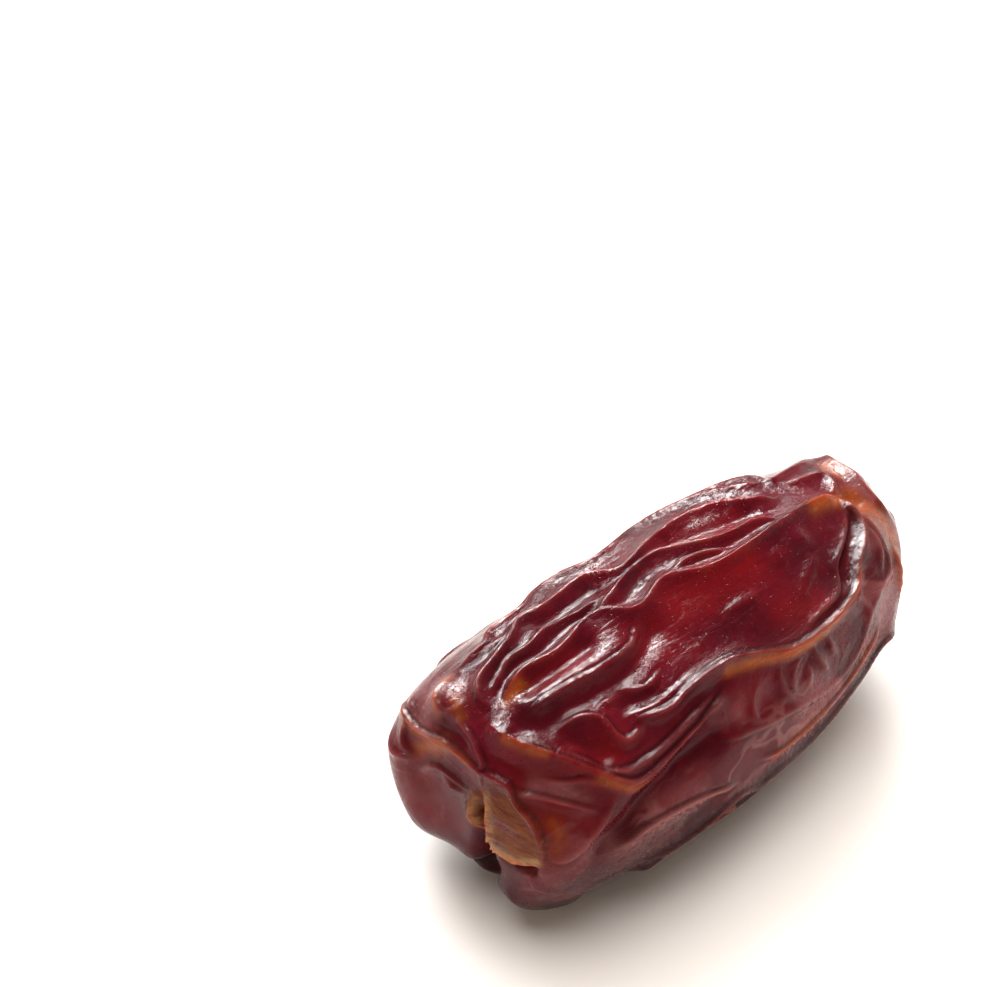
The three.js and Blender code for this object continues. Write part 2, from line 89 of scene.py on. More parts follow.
# Sharp folds: height, reach of the slope on the far side and on the near side, points.
CRESTS = [
    # Long fold along the edge between the end face, the top and the near side, with its inner twin.
    [0.8, 0.75, 0.8, [[9.7, 6], [9.6, 12], [10, 20], [11, 31], [12.6, 43], [13.9, 52], [15.5, 60],
      [17.1, 62], [18.7, 61], [21.4, 58], [24, 55.5], [27, 51]]],
    [0.5, 0.6, 0.35, [[12.1, 36], [13.2, 43], [14.4, 52], [16, 56], [18.7, 56], [21.9, 53], [25.5, 50]]],
    # The longest fold: under the big central panel and round its far end.
    [0.8, 0.6, 0.5, [[18.4, 41], [21.3, 44], [23.4, 42], [27.7, 42], [30, 46], [33.5, 54],
      [36.5, 56], [40.3, 56], [42.9, 54], [44.6, 47], [46.8, 40], [48, 32], [48.4, 22], [48.3, 13]]],
    [0.45, 0.6, 0.5, [[47.9, 20], [47.1, 27], [45.4, 33], [43.6, 37], [42.4, 40], [41.6, 46], [40.5, 50],
      [38, 50.5], [35.4, 52]]],
    # The crown fold over the panel.
    [0.85, 0.6, 0.8, [[11.8, 3.5], [14.8, 0], [17.2, 2], [19.4, 0], [21.2, -2.5], [22.6, -1], [24.2, 5],
      [25.4, 6], [28.1, 2], [29.3, 2.5], [31.7, 8], [33.8, 10], [40, 10], [44.9, 10], [48.4, 13]]],
    [0.45, 0.35, 0.4, [[29.6, 0], [31, -1], [33.2, 1], [35.6, 8]]],
    [0.65, 0.5, 0.6, [[22.1, -3.5], [24.2, -5.5], [26.9, -10], [30.5, -12], [32.3, -8], [34.6, -2],
      [36.6, 1], [39, 2], [41.5, 8]]],
    # Folds on the far slope of the top.
    [0.7, 0.55, 0.55, [[10.9, 3], [10.8, -3], [12, -10], [14.1, -13], [16.7, -18], [18.6, -24],
      [21.2, -23], [25.6, -24], [27.1, -15], [28.8, -16], [31.4, -20], [35.9, -22], [38.8, -18],
      [41.5, -8], [43.5, -6]]],
    [0.6, 0.5, 0.55, [[12.6, -27], [14.9, -24], [16.5, -30], [20, -32], [22.8, -39], [24.8, -41],
      [27.7, -34]]],
    [0.6, 0.7, 0.6, [[25, -42], [26.6, -36], [28.5, -34], [31, -37], [34, -43], [37.4, -44],
      [40, -37], [43, -22], [45.1, -18]]],
    [0.4, 0.4, 0.4, [[11.3, -2.5], [13, -6], [15, -10], [17, -10], [19, -12.5], [22, -11], [24.5, -9]]],
    [0.35, 0.4, 0.4, [[18, -22.5], [16.4, -22.5], [14, -20]]],
    [0.5, 0.6, 0.6, [[38, -46], [42, -50], [44.1, -46], [45.2, -32], [45.1, -18], [47.5, -20],
      [50, -24], [52.2, -30]]],
    [0.4, 0.5, 0.5, [[45.4, -14], [47.5, -8], [49.7, -6], [49.7, 3], [48.4, 12]]],
    # The winged folds near the end of the top.
    [0.4, 0.7, 0.4, [[11.8, 16], [15.3, 16.5], [19.6, 18], [22.4, 16], [23.9, 10], [24.5, 6]]],
    [0.55, 0.6, 0.45, [[13, 28], [15.1, 28.5], [16.2, 33], [16.5, 42], [17, 46], [19.1, 44]]],
    [0.35, 0.45, 0.4, [[18, 38], [20, 40], [22.3, 40], [24.2, 38.5]]],
    [0.4, 0.5, 0.5, [[16.2, 31], [17.3, 29], [19, 30]]],
    [0.35, 0.4, 0.4, [[19.1, 26], [19.7, 30], [20.9, 33], [22.5, 31]]],
    # The near side and the far end.
    [0.32, 0.7, 0.7, [[48.6, 20], [49.3, 36], [49.4, 52], [48.8, 67], [46.1, 70], [43.3, 77], [41, 85],
      [37.3, 86], [33.3, 81], [28.3, 75], [24.8, 70]]],
    [0.35, 0.4, 0.4, [[48.5, 34], [48.7, 46], [48.3, 56], [47.6, 64]]],
    [0.35, 0.45, 0.4, [[32.3, 56], [31.8, 62], [32, 71], [32.9, 77]]],
    [0.3, 0.4, 0.35, [[34.9, 60], [33.1, 64], [32.8, 71], [33.2, 75]]],
    [0.3, 0.4, 0.35, [[34.8, 64], [34.7, 72], [34.4, 79]]],
    [0.35, 0.4, 0.4, [[36.6, 58], [35.9, 62], [36.2, 68], [37.2, 79]]],
    [0.3, 0.4, 0.4, [[38, 60], [38, 68], [38.5, 74]]],
    [0.3, 0.4, 0.4, [[29.4, 58], [28.5, 65], [28.6, 76]]],
    [0.25, 0.4, 0.4, [[25.7, 54], [25.4, 60], [25.5, 68]]],
    [0.5, 0.8, 0.8, [[28, 92], [32.2, 96], [36.1, 96], [39.6, 94], [43.2, 90], [46, 86]]],
    [0.5, 0.7, 0.7, [[13.6, 92], [16.2, 85.5], [19.8, 85.5], [23, 89], [26, 96]]],
    [0.45, 0.6, 0.6, [[51, 60], [50.6, 74], [50.3, 86], [49.5, 98]]],
    [0.35, 0.5, 0.5, [[54, -40], [52.6, -10], [52.5, 20], [53.5, 50]]],
    [0.3, 0.6, 0.6, [[54.4, 12], [56.4, 8], [58.8, 20]]],
    [0.3, 0.6, 0.6, [[54.6, 66], [56.4, 62], [58.6, 50]]],
    [0.35, 0.6, 0.6, [[52.6, -66], [54.6, -56], [56.4, -60], [58.6, -40]]],
    # The stem end: the folds that run together at the scar.
    [0.42, 0.4, 0.4, [[10.2, -64], [9.4, -59], [8.5, -55], [7.2, -48], [6.5, -39], [6.1, -29],
      [5.6, -18], [5.2, -6], [5.2, 8], [6.1, 25], [6.9, 36], [6.5, 46], [7, 58], [7.4, 68],
      [7.5, 79], [7.2, 90]]],
    [0.35, 0.4, 0.4, [[9.4, -12], [8.3, -8], [7.7, 1], [7, 8], [6.2, 11], [4.9, 6], [3, -6]]],
    [0.32, 0.4, 0.35, [[6.5, 31], [7.5, 43], [8.8, 49], [10, 55], [11.3, 61], [12.6, 67]]],
    [0.35, 0.4, 0.4, [[14.8, 57], [14.2, 62], [12.9, 70], [11.3, 80], [9.8, 86], [8.7, 87], [7.7, 80]]],
    [0.3, 0.4, 0.4, [[9.6, 42], [11.4, 49], [12.6, 51], [14, 59]]],
    [0.3, 0.35, 0.35, [[10, -56], [9.3, -54], [8.2, -56], [7.2, -66], [6.1, -71], [5.6, -66]]],
    [0.28, 0.35, 0.35, [[4.6, -64], [3.9, -67], [3.1, -75], [2, -62]]],
    [0.3, 0.35, 0.35, [[5.2, -85], [4.9, -71], [4.4, -62], [3.8, -58], [3.1, -56], [2.1, -54]]],
    [0.3, 0.4, 0.4, [[8.9, -76], [7.3, -79], [5.4, -71]]],
    [0.35, 0.5, 0.4, [[10.4, -55], [9.2, -50], [7.8, -45]]],
    [0.3, 0.5, 0.5, [[11.6, -27], [9.6, -28], [8.6, -20], [9.2, -12], [10.8, -10]]],
]

# Broad swells (above 0) and hollows (below 0): height, reach, points.
SWELLS = [
    [-0.15, 3.6, [[26, 22], [31, 26], [36, 28], [41, 26], [45, 21]]], # the central panel sags
    [-0.2, 1.6, [[24.8, 18], [25.8, 21]]],
    [0.3, 0.9, [[38.2, 21], [41.2, 20]]],
    [0.2, 0.6, [[40.7, 32], [37.8, 39]]],
    [0.15, 0.45, [[31.4, 27], [33.6, 28]]],
    [0.55, 1.5, [[11.5, 11], [14, 12.5], [18, 13.5], [21, 13]]], # the long welt on the top
    [-0.6, 0.85, [[13.6, 7], [16.4, 7], [19.6, 6]]],
    [0.3, 1.3, [[21.6, 3], [22.6, 5]]],
    [-0.45, 1.1, [[13, 23], [17, 23.5], [20.6, 23], [24.6, 15]]],
    [-0.4, 0.8, [[18.6, 34], [20.8, 36]]],
    [-0.35, 0.9, [[13.6, 36], [14.6, 46]]],
    [-0.4, 0.7, [[33, -15.5], [37, -9.5], [40, -6]]],
    [-0.55, 1, [[14, -5], [18, -5.5], [22, -8]]],
    [-0.5, 1, [[20, -17.5], [24.6, -18.5]]],
    [-0.45, 0.9, [[26, 50.5], [23, 58.5], [20.2, 64]]],
    [-0.9, 1.2, [[24, 65], [20.3, 69], [16.8, 72.5], [14.8, 79], [12.4, 85]]], # shaded side hollow
    [-0.35, 1.4, [[28, 66], [31, 68]]],
    [0.5, 1.9, [[14.9, 62], [13.7, 69], [12, 76], [10.4, 86], [9.6, 96]]], # rounded shoulder
    [-0.85, 1.5, [[9.3, 60], [10.8, 68], [9.7, 79]]], # hollow panel on the end face
    [-0.5, 1.2, [[8, 24], [9.2, 38]]],
    [-0.4, 1, [[7.2, -22], [7, -8]]],
    [-0.45, 0.9, [[12.6, -1], [11.4, 9], [11, 18]]],
    [0.5, 1.5, [[10, -22], [9.6, -20]]],
    [1.1, 2.8, [[7, -90], [6.8, -106], [6.8, -130]]], # left lobe
    [-1.2, 2.2, [[8.6, -165], [8.8, -178]]],
    [0.55, 1.5, [[8.2, 142], [10, 144], [12.4, 138]]],
    [0.45, 3, [[8.6, 118], [9.4, 134]]], # right lobe
    [-0.45, 0.8, [[49.6, 17], [50.2, 22]]],
    [-0.4, 1, [[47.7, 29], [45, 40], [42.8, 46.5]]],
    [-0.3, 1.3, [[45.4, 54], [44, 66]]],
    [0.5, 1.6, [[48.9, 98], [47.4, 103]]], # corner of the tip end
    [0.25, 1.5, [[54, 58], [52.4, 74]]],
    [0.65, 1.5, [[52.4, -36], [53.4, -16], [53.4, 4]]],
    [-0.35, 2.4, [[14, -64], [22, -62], [33, -62]]], # flatter back slope
    [-0.6, 1.1, [[60.2, 0], [60.2, 180]]], # dimple at the tip
    [-0.4, 1.2, [[14.4, 136], [15.6, 132]]],
]

# The scar of the torn cap. Its points are mm to the right of the stem pole (towards -Y) and up.
SCAR_CRESTS = [
    # Torn edge of the tan flap: a step down on its outer side.
    [0.7, 1.8, 0.45, [[-0.1, 2.6], [0.2, 1.1], [0.1, -0.4], [0.45, -1.4], [0.6, -2.2], [2.6, -1.9],
      [5, -1.2], [6.9, -0.5]]],
    # Rolled stub.
    [0.7, 0.45, 0.45, [[-0.6, 2.2], [-1.2, 1.4], [-1.5, -0.2], [-1.1, -1.2], [-0.1, -1.7]]],
]
SCAR_SWELLS = [
    [-0.9, 0.5, [[-0.7, 0.2], [-0.5, -0.6]]],
    [-1.1, 0.42, [[-0.3, -2.2], [0.5, -2.9], [2.4, -2.6], [4.6, -2], [6.4, -1.5]]], # gap under the flap
    [-1.7, 0.75, [[-0.1, -2.6], [0.1, -3.8], [0.8, -5.4]]], # cleft between the lobes
    [-2.8, 0.9, [[1, -5], [1, -7.4], [0.9, -9.6], [0.9, -12]]],
    [0.25, 1.2, [[2.2, 1.8], [4.2, 1.8], [5.6, 1.2]]],
]

# Folds on the sides turned away: place round, start, end, sway in degrees, pitch, phase, height.
FAR_FOLDS = [
    [-63, 14, 37, 5, 17, 0.4, 0.3],
    [-80, 15, 47, 6, 21, 2.1, 0.7],
    [-101, 13, 57, 7, 18, 4.4, 0.85],
    [-122, 10, 34, 6, 15, 1.2, 0.75],
    [-118, 33, 57, 8, 19, 3.3, 0.75],
    [-146, 13, 56, 6, 22, 0.2, 0.7],
    [109, 17, 55, 5, 19, 2.6, 0.7],
    [130, 17, 34, 6, 16, 5.1, 0.7],
    [134, 33, 57, 7, 18, 0.9, 0.7],
    [158, 14, 55, 5, 23, 3.7, 0.6],
]
# Short folds between them: place round and distance of each end.
LINKS = [
    [-68, 20, -91, 25], [-88, 30, -66, 35], [-98, 18, -120, 23], [-124, 29, -103, 34],
    [-140, 19, -121, 25], [-104, 41, -82, 45], [-127, 43, -146, 38], [111, 24, 129, 28],
    [131, 31, 111, 36], [134, 20, 156, 24], [152, 33, 136, 39], [-64, 41, -84, 44],
]

# Colour on the skin: how strong, how far it reaches, and the line it follows.
ORANGE = [
    (0.95, 0.42, [(27.5, 46), (29.4, 48.5), (31.2, 51.5), (32.8, 55), (36.6, 58.5), (40.6, 58)]),
    (0.6, 0.4, [(40.6, 58), (42.9, 55), (44.8, 50)]),
    (0.9, 0.6, [(44.5, 11.5), (46.5, 13), (48, 15)]),
    (0.9, 1.1, [(49.4, 17), (50.3, 19)]),
    (0.7, 1.5, [(50.2, 27), (51.4, 42), (51.8, 56)]),
    (0.8, 0.7, [(52, -14), (51.6, -3)]),
    (0.6, 0.6, [(51.2, 62), (50.5, 74), (50.3, 86)]),
    (0.75, 0.5, [(13.6, 4), (12, 5.5)]),
    (0.6, 0.35, [(13.6, 53), (14.8, 60), (15.6, 63), (17.4, 65)]),
    (0.7, 0.7, [(5.8, -30), (5.6, -46), (5.9, -60)]),
    (0.6, 0.5, [(9, -60), (7.6, -54), (6.2, -46), (5.6, -24), (4.9, -8)]),
    (0.6, 0.5, [(11.2, -28), (9.6, -28), (8.4, -25)]),
    (0.4, 0.7, [(9, 66), (9.4, 74), (8.8, 82)]),
    (0.5, 0.5, [(10, -15), (8.8, -9)]),
    (0.7, 0.6, [(30, 95), (33.5, 96), (36, 96)]),
    (0.6, 0.6, [(39.6, 94), (43.2, 90)]),
    (0.55, 0.35, [(9.6, 18), (10.6, 30), (11.2, 34)]),
]
RED = [
    (1, 2.2, [(28, 14), (32, 14), (35, 15)]),
    (0.6, 2.5, [(24.5, 18), (27, 16)]),
    (0.7, 1.6, [(38, 46), (35, 40)]),
    (0.8, 1.6, [(12.5, 42), (13.5, 50), (16, 45)]),
    (0.8, 2.2, [(9.3, 60), (11, 68), (10, 79)]),
    (0.6, 1.8, [(9, 30), (10.5, 42)]),
    (0.6, 1.6, [(27, 62), (29, 64)]),
    (0.6, 2, [(38, -6), (34, -12)]),
    (0.5, 1.2, [(14, 6), (18, 6)]),
    (0.6, 3, [(6, -120), (5, -90)]),
]
LOOSE_SKIN_AND_REFLECTION = [  # where the skin has come away from the flesh, paler also by a painted reflection of the white floor
    (1, 4.5, [(16, 98), (24, 96), (32, 92), (40, 88), (47, 80), (50, 66)]),
    (0.7, 4, [(8, -84), (7.5, -112), (10, -140)]),
    (0.6, 3, [(9, 112), (10, 136), (14, 120)]),
    (0.7, 2, [(12.5, 78), (10.8, 88), (10, 98)]),
    (0.6, 1.6, [(5, -40), (8.6, -36), (11, -20)]),
    (0.6, 0.8, [(9.2, 44), (10.8, 52), (12.2, 57)]),
    (0.5, 1.2, [(52.2, 14), (52.8, 34), (52.4, 56)]),
]
CLINGING_NO_REFLECTION = [  # and where it holds to it again, deep red without that painted reflection
    (1, 1.2, [(13.4, 76), (15.4, 71), (18, 69.5), (22, 69), (25.6, 68)]),
    (0.8, 1, [(28, 66), (31, 66)]),
    (0.7, 1.6, [(6.5, -125), (5.4, -100)]),
    (0.8, 0.9, [(6, -58), (7.4, -72)]),
]
FLOOR_SHADE_STRIP = [  # painted shade: a darker strip next to the floor
    (1, 1.7, [(13, 114), (16.5, 112), (19, 109), (22.5, 108), (25, 107), (28, 109), (31.5, 112),
      (35.5, 115), (40, 112), (45, 108)]),
    (0.7, 2.3, [(11, 104), (14, 102), (18, 101), (22, 101)]),
]
DRY = [  # these two in mm to the right of the stem pole and up
    (1, 1.3, [(1, 2.2), (2.6, 2.8), (4.4, 2.2), (5.6, 1.2)]),
    (1, 1.0, [(0.9, -0.6), (2.6, -0.4), (5, 0), (6.4, 0.4)]),
    (1, 0.7, [(-0.5, 2), (-1.2, 1.2), (-1.5, -0.2), (-0.9, -1.3)]),
]
PALE = [
    (1, 0.4, [(0, 2.2), (0.3, 0.4), (0.25, -0.6), (0.6, -1.6), (0.9, -2), (2.6, -1.7), (5, -1),
      (6.8, -0.3)]),
    (0.6, 0.25, [(-1.1, 1.4), (-1.4, -0.2), (-1, -1.1)]),
]


def smooth_line(points, steps=LINE_STEPS):
    """Centripetal Catmull-Rom curve through the points, with this many steps between two of them."""
    p = np.asarray(points, float)
    p = np.vstack([2 * p[0] - p[1], p, 2 * p[-1] - p[-2]])
    t = np.linspace(0, 1, steps, endpoint=False)[:, None]
    out = []
    for p0, p1, p2, p3 in zip(p, p[1:], p[2:], p[3:]):
        d01, d12, d23 = (max(np.linalg.norm(d) ** 0.5, TINY) for d in (p1 - p0, p2 - p1, p3 - p2))
        m1 = ((p1 - p0) / d01 - (p2 - p0) / (d01 + d12) + (p2 - p1) / d12) * d12
        m2 = ((p2 - p1) / d12 - (p3 - p1) / (d12 + d23) + (p3 - p2) / d23) * d12
        out.append(p1 + m1 * t + (3 * (p2 - p1) - 2 * m1 - m2) * t**2 + (2 * (p1 - p2) + m1 + m2) * t**3)
    return np.vstack([*out, p[-2]])


def run_of(line):
    """The length of the line up to each of its points."""
    return np.concatenate([[0], np.cumsum(np.linalg.norm(np.diff(line, axis=0), axis=1))])


side_view = smooth_line(PROFILE, SIDE_STEPS)
side_run = run_of(side_view)
SKIN_LENGTH = side_run[-1]


def plump(along, turn):
    """The form without folds: where each place on the skin is in space, in mm."""
    x = np.interp(along, side_run, side_view[:, 0])
    radius = np.interp(along, side_run, side_view[:, 1])
    angle = np.radians(turn)
    u = x / HALF_LENGTH
    bow = 1 - u * u
    drag = np.exp(-((np.asarray(along) / SCAR_REACH) ** 2))
    y = BOW_SIDE * bow - radius * WIDER * np.sin(angle) + SCAR_SHIFT[0] * drag
    z = MIDDLE_HEIGHT + BOW_DOWN * bow + TIP_LIFT * u + radius * LOWER * np.cos(angle)
    return np.stack([x, y, z + SCAR_SHIFT[1] * drag], -1)


def skin_line(points, at_scar):
    """The line's points in space, evenly spaced, and the length up to each."""
    scale = 1 if at_scar else DEGREES_TO_MM
    curve = smooth_line([(u, v * scale) for u, v in points])
    run = run_of(curve)
    even = np.linspace(0, run[-1], max(LEAST_STEPS, int(np.ceil(run[-1] / LINE_STEP))) + 1)
    u = np.interp(even, run, curve[:, 0])
    v = np.interp(even, run, curve[:, 1]) / scale
    if at_scar:
        u, v = np.hypot(u, v), np.degrees(np.arctan2(u, v))
    spots = plump(np.maximum(u, 0), v)
    return spots, run_of(spots)


def box_skin(along, across):
    """Corners and faces of a box, in whole steps, wound outwards."""
    steps = (along, across, across)
    sheets = []
    for axis in range(3):
        u_axis, v_axis = (axis + 1) % 3, (axis + 2) % 3
        u, v = np.meshgrid(np.arange(steps[u_axis]), np.arange(steps[v_axis]), indexing="ij")
        for end in (0, steps[axis]):
            quads = np.zeros((u.size, 4, 3), int)
            for k, (du, dv) in enumerate(((0, 0), (1, 0), (1, 1), (0, 1))):
                quads[:, k, axis] = end
                quads[:, k, u_axis] = u.ravel() + du
                quads[:, k, v_axis] = v.ravel() + dv
            sheets.append(quads if end else quads[:, ::-1])
    quads = np.concatenate(sheets)
    corners, index = np.unique(quads.reshape(-1, 3), axis=0, return_inverse=True)
    return corners, index.reshape(-1, 4)


def places_of(corners):
    """Where each corner of the box lies on the skin: mm along, degrees round."""
    x = corners[:, 0] / FACES_ALONG
    across = 1 - 2 * corners[:, 1] / FACES_ROUND
    up = 2 * corners[:, 2] / FACES_ROUND - 1
    out = np.maximum(np.abs(across), np.abs(up))
    safe_up = np.where(up == 0, 1, up)
    safe_across = np.where(across == 0, 1, across)
    turn = np.where(
        np.abs(up) >= np.abs(across),
        45 * across / safe_up + np.where(up < 0, 180, 0),
        90 - 45 * up / safe_across + np.where(across < 0, 180, 0),
    )
    turn = np.where(turn > 180, turn - 360, turn)
    turn = turn - np.degrees(CROWDING * np.sin(np.radians(turn - CROWDED_AT)))
    along = CAP_REACH + x * (SKIN_LENGTH - 2 * CAP_REACH)
    along = np.where(x == 0, CAP_REACH * out, np.where(x == 1, SKIN_LENGTH - CAP_REACH * out, along))
    return along, turn


def outward(spots, faces):
    """Corner directions pointing out of the mesh."""
    a, b, c, d = (spots[faces[:, k]] for k in range(4))
    face = np.cross(c - a, d - b)
    total = np.zeros_like(spots)
    for k in range(4):
        np.add.at(total, faces[:, k], face)
    return total / np.linalg.norm(total, axis=1, keepdims=True)


def bell(distance, reach):
    return np.exp(-((distance / reach) ** 2))


def smoothstep(x, low, high):
    t = np.clip((x - low) / (high - low), 0, 1)
    return t * t * (3 - 2 * t)


# The plump form that the folds rise from.
corners, faces = box_skin(FACES_ALONG, FACES_ROUND)
base = plump(*places_of(corners))
outwards = outward(base, faces)


class Nearest:
    """The corners within reach of a line: how far they are from it, on which side, and from its ends."""

    def __init__(self, points, reach, at_scar=False):
        line, run = skin_line(points, at_scar)
        room = REACHES * reach
        near = ((base > line.min(0) - room) & (base < line.max(0) + room)).all(1)
        self.chosen = np.nonzero(near)[0]
        spots, normals = base[self.chosen], outwards[self.chosen]
        square = np.full(len(spots), np.inf)
        self.side = np.ones(len(spots))
        at = np.zeros(len(spots))
        for i, (a, b) in enumerate(zip(line, line[1:])):
            piece = b - a
            size = piece @ piece
            off = spots - a
            t = np.clip(off @ piece / size, 0, 1)
            off = off - t[:, None] * piece
            new = (off * off).sum(1)
            closer = new < square
            square[closer] = new[closer]
            at[closer] = (run[i] + t * size**0.5)[closer]
            self.side[closer] = np.sign((np.cross(piece, normals) * off).sum(1))[closer]
        self.distance = np.sqrt(square)
        self.to_end = np.minimum(at, run[-1] - at)


def hidden_folds():
    """The long folds on the sides turned away, and the short links between them, as rows of CRESTS."""
    for turn, start, end, sway, pitch, phase, height in FAR_FOLDS:
        along = np.linspace(start, end, int(np.ceil((end - start) / FAR_STEP)) + 1)
        angle = 2 * np.pi * along / pitch + phase
        turns = turn + sway * (np.sin(angle) + RIPPLE[0] * np.sin(RIPPLE[1] * angle))
        yield height, FAR_REACH, FAR_REACH, list(zip(along, turns))
    for turn_a, along_a, turn_b, along_b in LINKS:
        middle = ((along_a + along_b) / 2 + LINK_BOW, (turn_a + turn_b) / 2)
        yield LINK_HEIGHT, LINK_REACH, LINK_REACH, [(along_a, turn_a), middle, (along_b, turn_b)]


def folds():
    """At each corner: the height of the folds, and how much of a crest and of a crease lies there."""
    blended = np.zeros(len(base))
    crest = np.zeros(len(base))
    crease = np.zeros(len(base))
    rows = [(*row, False) for row in [*CRESTS, *hidden_folds()]] + [(*row, True) for row in SCAR_CRESTS]
    for height, far_reach, near_reach, points, at_scar in rows:
        near = Nearest(points, max(far_reach, near_reach), at_scar)
        at = near.chosen
        fade = smoothstep(near.to_end, -FADE_BEYOND * END_FADE, END_FADE)
        reach = np.where(near.side < 0, far_reach, near_reach)
        fall = np.hypot(near.distance, CREST_ROUND) - CREST_CUT
        blended[at] += (height * fade * np.exp(-fall / reach)) ** BLEND
        strength = fade * min(1, height / FULL_HEIGHT)
        crest[at] = np.maximum(crest[at], strength * bell(near.distance, LIP_WIDTH))
        from_crease = np.where(near.side < 0, near.distance - CREASE_OFF, np.inf)
        crease[at] = np.maximum(crease[at], strength * bell(from_crease, CREASE_WIDTH))
    return blended ** (1 / BLEND), crest, crease


def swells():
    """The height of the broad swells and hollows at each corner."""
    total = np.zeros(len(base))
    rows = [(*row, False) for row in SWELLS] + [(*row, True) for row in SCAR_SWELLS]
    for height, reach, points, at_scar in rows:
        near = Nearest(points, reach, at_scar)
        total[near.chosen] += height * bell(near.distance, reach)
    return total


def tint(lines, at_scar=False):
    """How strongly each corner has the colour that follows these lines."""
    out = np.zeros(len(base))
    for strength, reach, points in lines:
        near = Nearest(points, reach, at_scar)
        out[near.chosen] = np.maximum(out[near.chosen], strength * bell(near.distance, reach))
    return out


# The skin with its folds, flat where it rests on the floor.
fold_height, crest, crease = folds()
height = fold_height + swells() - SKIN_SINK + LIP * crest - CREASE * crease
height *= smoothstep(base[:, 2], *FLOOR_EASE)
spots = base + outwards * height[:, None]
spots[:, 2] = np.maximum(spots[:, 2], 0)

# The CAD fruit's own frame: the middle of its length and width, the floor under it.
middle = (spots.max(0) + spots.min(0)) / 2
shift = np.array([-middle[0], -middle[1], 0])
spots += shift

# What the material reads at each corner.
painted = {
    "crest": crest,
    "crease": crease,
    "orange": tint(ORANGE),
    "red": tint(RED),
    # loose skin, paler also by a painted reflection of the white floor
    "loose_and_reflected": tint(LOOSE_SKIN_AND_REFLECTION) * (1 - tint(CLINGING_NO_REFLECTION)),
    # painted shade along the strip next to the floor
    "low": tint(FLOOR_SHADE_STRIP),
    "dry": tint(DRY, at_scar=True),
    "pale": tint(PALE, at_scar=True),
}

mesh = bpy.data.meshes.new("date_skin")
mesh.from_pydata((spots * MM).tolist(), [], faces.tolist())
mesh.update()
mesh.shade_smooth()
for name, values in painted.items():
    mesh.attributes.new(name, "FLOAT", "POINT").data.foreach_set("value", values.astype(np.float32))
date = bpy.data.objects.new("date_skin", mesh)
bpy.context.scene.collection.objects.link(date)
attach(date, "root")
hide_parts("date_fruit")


class Nodes:
    """A short way to add linked nodes to the tree of a material or of the world."""

    def __init__(self, tree):
        self.tree = tree

    def add(self, kind, inputs=(), **settings):
        node = self.tree.nodes.new(kind)
        for key, value in settings.items():
            setattr(node, key, value)
        for key, value in dict(inputs).items():
            self.put(node.inputs[key], value)
        return node

    def put(self, socket, value):
        if isinstance(value, bpy.types.NodeSocket):
            self.tree.links.new(value, socket)
        else:
            socket.default_value = value

    def math(self, operation, a, b=0.0):
        return self.add("ShaderNodeMath", {0: a, 1: b}, operation=operation).outputs[0]

    def times(self, a, b):
        return self.math("MULTIPLY", a, b)

    def mix(self, factor, a, b):
        """Mixes colours, which are the node's inputs 6 and 7 and its output 2."""
        return self.add("ShaderNodeMix", {0: factor, 6: a, 7: b}, data_type="RGBA").outputs[2]

    def stretched(self, place, scale):
        return self.add("ShaderNodeMapping", {"Vector": place, "Scale": scale}).outputs[0]

    def noise(self, place, scale, detail, roughness, distortion=0.0):
        inputs = {"Vector": place, "Scale": scale, "Detail": detail}
        inputs |= {"Roughness": roughness, "Distortion": distortion}
        return self.add("ShaderNodeTexNoise", inputs).outputs[0]

    def cells(self, place, scale, feature):
        inputs = {"Vector": place, "Scale": scale}
        return self.add("ShaderNodeTexVoronoi", inputs, feature=feature).outputs["Distance"]

    def ramp(self, value, low, high, to_low=0.0, to_high=1.0):
        inputs = {"Value": value, "From Min": low, "From Max": high, "To Min": to_low, "To Max": to_high}
        return self.add("ShaderNodeMapRange", inputs, interpolation_type="SMOOTHSTEP").outputs[0]

    def attribute(self, name):
        return self.add("ShaderNodeAttribute", attribute_name=name).outputs["Fac"]


def new_material(name):
    """A material, its nodes and the sockets of its shader."""
    material = bpy.data.materials.new(name)
    material.use_nodes = True
    return material, Nodes(material.node_tree), material.node_tree.nodes["Principled BSDF"].inputs


# Colours of the skin.
MAROON = (0.09, 0.003, 0.009, 1)
DARK = (0.05, 0.002, 0.006, 1)
BRIGHT_RED = (0.16, 0.004, 0.006, 1)
# Mauve and paler film of loose skin, each partly a painted reflection of the white floor.
MAUVE_LOOSE_AND_REFLECTED = (0.2, 0.06, 0.064, 1)
PALE_FILM_AND_REFLECTION = (0.35, 0.17, 0.16, 1)
# Painted shade near the floor.
PAINTED_FLOOR_SHADE = (0.014, 0.001, 0.002, 1)
RUST = (0.32, 0.07, 0.009, 1)
TAN = (0.17, 0.05, 0.015, 1)
BROWN = (0.09, 0.016, 0.006, 1)
CREAM = (0.32, 0.18, 0.085, 1)
EDGE = (0.17, 0.06, 0.055, 1)
# Painted shade in the fine creases beside the crests.
PAINTED_CREASE_SHADE = (0.025, 0.001, 0.002, 1)

# Patterns of the skin: how many spots lie along a metre, their detail, roughness and distortion.
CLOUD = (140, 4, 0.55)
MOTTLE = (600, 4, 0.6)
PATCHES = (170, 3, 0.5, 0.8)
FIBRE = (1500, 4, 0.65)
WET_SPOTS = (2200, 3, 0.6)
WRINKLES = (520, 3, 0.5, 0.3)
GRAIN = (4600, 3, 0.75)
THIN_LINES = (330, 3, 0.5, 0.8)
CRUMPLES = (430, 3, 0.5, 1.2)
NET_CELLS = 330
NET_WARP, NET_WARP_DETAIL, NET_BEND = 260, 2, 0.004
PORES = 2600
NOISE_MIDDLE = 0.5

# Patterns are drawn out along the axis whose scale is below 1.
DRAWN_OUT = (0.35, 1, 1)
DRAWN_OUT_PATCHES = (0.6, 1, 1)
DRAWN_OUT_FIBRE = (1, 0.35, 1.6)

